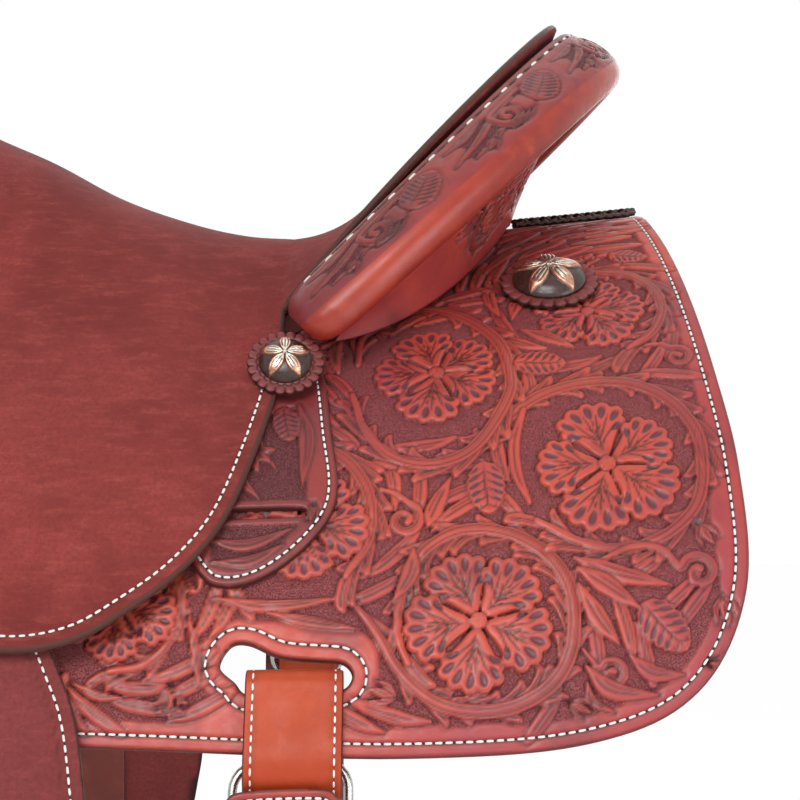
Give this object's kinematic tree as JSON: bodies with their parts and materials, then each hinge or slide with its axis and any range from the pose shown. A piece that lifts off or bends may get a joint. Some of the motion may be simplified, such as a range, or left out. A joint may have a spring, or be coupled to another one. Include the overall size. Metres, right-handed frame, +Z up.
{
  "type": "barrel racing saddle",
  "caption": "Barrel racing saddle: swell fork with horn, rolled cantle, suede seat, carved skirts, hung fenders and stirrups, latigo straps and a buckled flank cinch.",
  "frame": {"origin": "on the saddle's middle plane, at the ridge line of the back surface that the skirts lie on, half way along the skirts", "axes": "+X to the horse's tail, -Y to the near (left) side, +Z up"},
  "size_m": [0.6452, 0.6056, 0.9934],
  "materials": {
    "seat_suede": "rough-out suede, red-brown, matt",
    "tooled_leather": "carved and antiqued leather, satin, red-brown over a dark ground",
    "smooth_leather": "smooth polished leather, orange-red",
    "strap_leather": "smooth strap leather, light orange-tan",
    "dark_leather": "dark red-brown leather, satin",
    "stirrup_leather": "oiled saddle leather, brown",
    "wool": "cream wool pile",
    "tree_wood": "bare pale wood",
    "strainer_steel": "galvanised sheet",
    "bright_steel": "stainless, fine brushed",
    "concho_metal": "darkened silver and copper",
    "seat_foam": "closed foam"
  },
  "bodies": {
    "saddle": {"cantle_back": "tooled_leather", "cantle_roll": "smooth_leather", "fleece_left": "wool", "fleece_right": "wool", "fork_cover": "tooled_leather", "front_concho_left": "concho_metal", "front_concho_right": "concho_metal", "front_jockey_left": "tooled_leather", "front_jockey_right": "tooled_leather", "front_rigging_plate_left": "bright_steel", "front_rigging_plate_right": "bright_steel", "ground_seat": "strainer_steel", "horn_cap": "tooled_leather", "horn_post": "bright_steel", "horn_wrap": "smooth_leather", "rear_concho_left": "concho_metal", "rear_concho_left_rosette": "dark_leather", "rear_concho_right": "concho_metal", "rear_concho_right_rosette": "dark_leather", "seat_concho_left": "concho_metal", "seat_concho_left_rosette": "dark_leather", "seat_concho_right": "concho_metal", "seat_concho_right_rosette": "dark_leather", "seat_foam": "seat_foam", "seat_leather": "seat_suede", "skirt_lacing": "dark_leather", "skirt_left": "tooled_leather", "skirt_right": "tooled_leather", "stirrup_leather_loop_left": "stirrup_leather", "stirrup_leather_loop_right": "stirrup_leather", "tree_bar_left": "tree_wood", "tree_bar_right": "tree_wood", "tree_cantle": "tree_wood", "tree_fork": "tree_wood", "under_jockey_left": "tooled_leather", "under_jockey_right": "tooled_leather"},
    "fender_set_left": {"fender_left": "seat_suede", "stirrup_leather_left": "stirrup_leather", "hobble_strap_left": "smooth_leather", "stirrup_buckle_left": "bright_steel", "stirrup_bolt_left": "bright_steel"},
    "fender_set_right": {"fender_right": "seat_suede", "stirrup_leather_right": "stirrup_leather", "hobble_strap_right": "smooth_leather", "stirrup_buckle_right": "bright_steel", "stirrup_bolt_right": "bright_steel"},
    "stirrup_body_left": {"stirrup_left": "stirrup_leather"},
    "stirrup_body_right": {"stirrup_right": "stirrup_leather"},
    "rear_girth": {"flank_billet_left": "strap_leather", "flank_billet_right": "strap_leather", "flank_buckle_left": "bright_steel", "flank_buckle_right": "bright_steel", "flank_safe_left": "tooled_leather", "flank_safe_right": "tooled_leather", "flank_cinch": "tooled_leather"},
    "tongue_left": {"flank_buckle_tongue_left": "bright_steel"},
    "tongue_right": {"flank_buckle_tongue_right": "bright_steel"},
    "latigo_strap": {"latigo": "strap_leather"},
    "off_billet_strap": {"off_billet": "strap_leather"}
  },
  "joints": [
    {"name": "fender_swing_left", "type": "hinge", "parent": "saddle", "child": "fender_set_left", "pos_m": [-0.073, -0.23643, -0.17987], "axis": [0, -0.9135, 0.4067], "range_deg": [-17, 17]},
    {"name": "fender_swing_right", "type": "hinge", "parent": "saddle", "child": "fender_set_right", "pos_m": [-0.073, 0.23643, -0.17987], "axis": [0, 0.9135, 0.4067], "range_deg": [-17, 17]},
    {"name": "stirrup_swing_left", "type": "hinge", "parent": "fender_set_left", "child": "stirrup_body_left", "pos_m": [-0.073, -0.27781, -0.63038], "axis": [1, 0, 0], "range_deg": [-40, 40]},
    {"name": "stirrup_swing_right", "type": "hinge", "parent": "fender_set_right", "child": "stirrup_body_right", "pos_m": [-0.073, 0.27781, -0.63038], "axis": [1, 0, 0], "range_deg": [-40, 40]},
    {"name": "rear_girth_swing", "type": "hinge", "parent": "saddle", "child": "rear_girth", "pos_m": [0.1087, 0, -0.23025], "axis": [0, 1, 0], "range_deg": [-3, 8]},
    {"name": "tongue_turn_left", "type": "hinge", "parent": "rear_girth", "child": "tongue_left", "pos_m": [0.1077, -0.25782, -0.30226], "axis": [-1, 0, 0], "range_deg": [0, 25]},
    {"name": "tongue_turn_right", "type": "hinge", "parent": "rear_girth", "child": "tongue_right", "pos_m": [0.1077, 0.25782, -0.30226], "axis": [1, 0, 0], "range_deg": [0, 25]},
    {"name": "latigo_swing", "type": "hinge", "parent": "saddle", "child": "latigo_strap", "pos_m": [-0.243, -0.25212, -0.22057], "axis": [0.0334, -0.9235, 0.3821], "range_deg": [-8, 8]},
    {"name": "off_billet_swing", "type": "hinge", "parent": "saddle", "child": "off_billet_strap", "pos_m": [-0.243, 0.25212, -0.22057], "axis": [0.0334, 0.9235, 0.3821], "range_deg": [-8, 8]}
  ]
}
